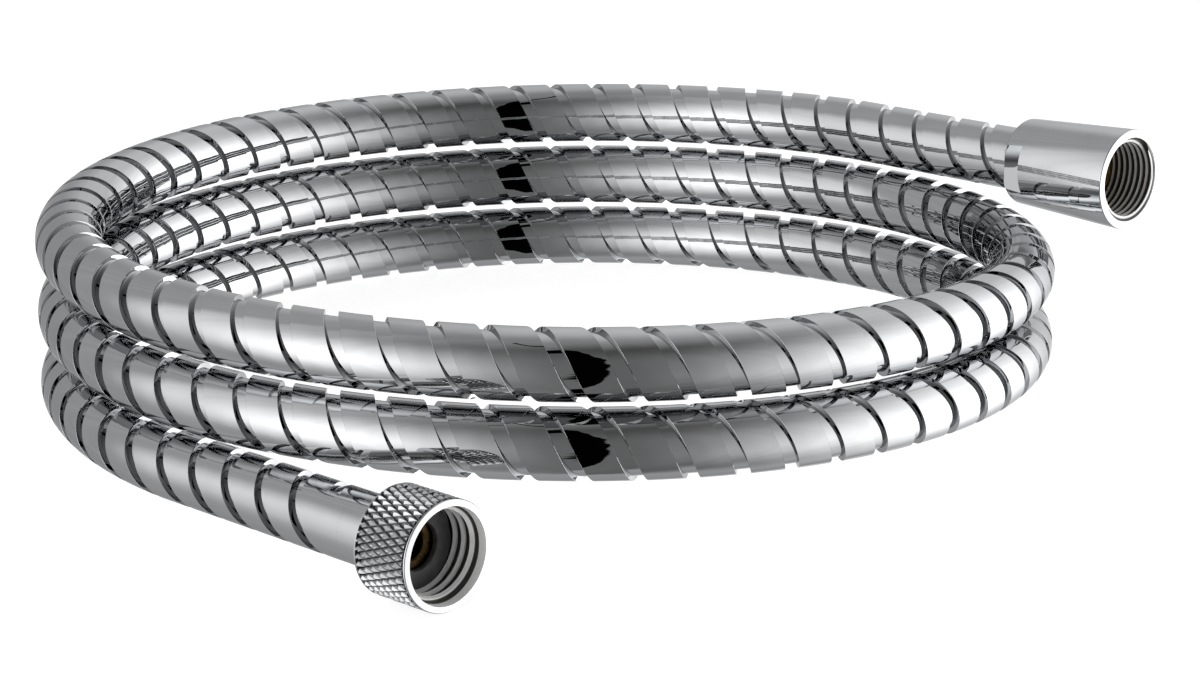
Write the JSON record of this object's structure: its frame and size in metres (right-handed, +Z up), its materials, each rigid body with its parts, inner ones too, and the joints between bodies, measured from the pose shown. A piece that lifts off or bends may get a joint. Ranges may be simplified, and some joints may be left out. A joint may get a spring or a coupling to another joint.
{
  "type": "shower hose",
  "caption": "Coiled flexible metal shower hose with an inner tube, a conical swivel nut at one end and a knurled swivel nut at the other.",
  "frame": {"origin": "under the middle of the coiled hose, on the surface it lies on", "axes": "+Z up, nearly along the axis of the coil; +X along both straight ends, out of the mouths of the nuts"},
  "size_m": [0.2476, 0.259, 0.0568],
  "materials": {
    "chromed_strip": "polished interlocked strip, chrome plated",
    "nut_chrome": "polished chrome plate on turned brass",
    "insert_brass": "turned bare brass",
    "tube_rubber": "smooth black rubber",
    "washer_rubber": "matt black rubber"
  },
  "bodies": {
    "hose": {"outer_hose": "chromed_strip", "inner_tube": "tube_rubber", "conical_end_insert": "insert_brass", "conical_end_sleeve": "chromed_strip", "knurled_end_insert": "insert_brass", "knurled_end_sleeve": "chromed_strip", "sealing_washer": "washer_rubber"},
    "conical_nut": {"conical_nut": "nut_chrome"},
    "knurled_nut": {"knurled_nut": "nut_chrome"}
  },
  "joints": [
    {"name": "conical_nut_swivel", "type": "hinge", "parent": "hose", "child": "conical_nut", "pos_m": [0.0737, 0.11667, 0.04403], "axis": [1, 0, 0], "continuous": true},
    {"name": "knurled_nut_swivel", "type": "hinge", "parent": "hose", "child": "knurled_nut", "pos_m": [0.0821, -0.11726, 0.01219], "axis": [1, 0, 0], "continuous": true}
  ]
}
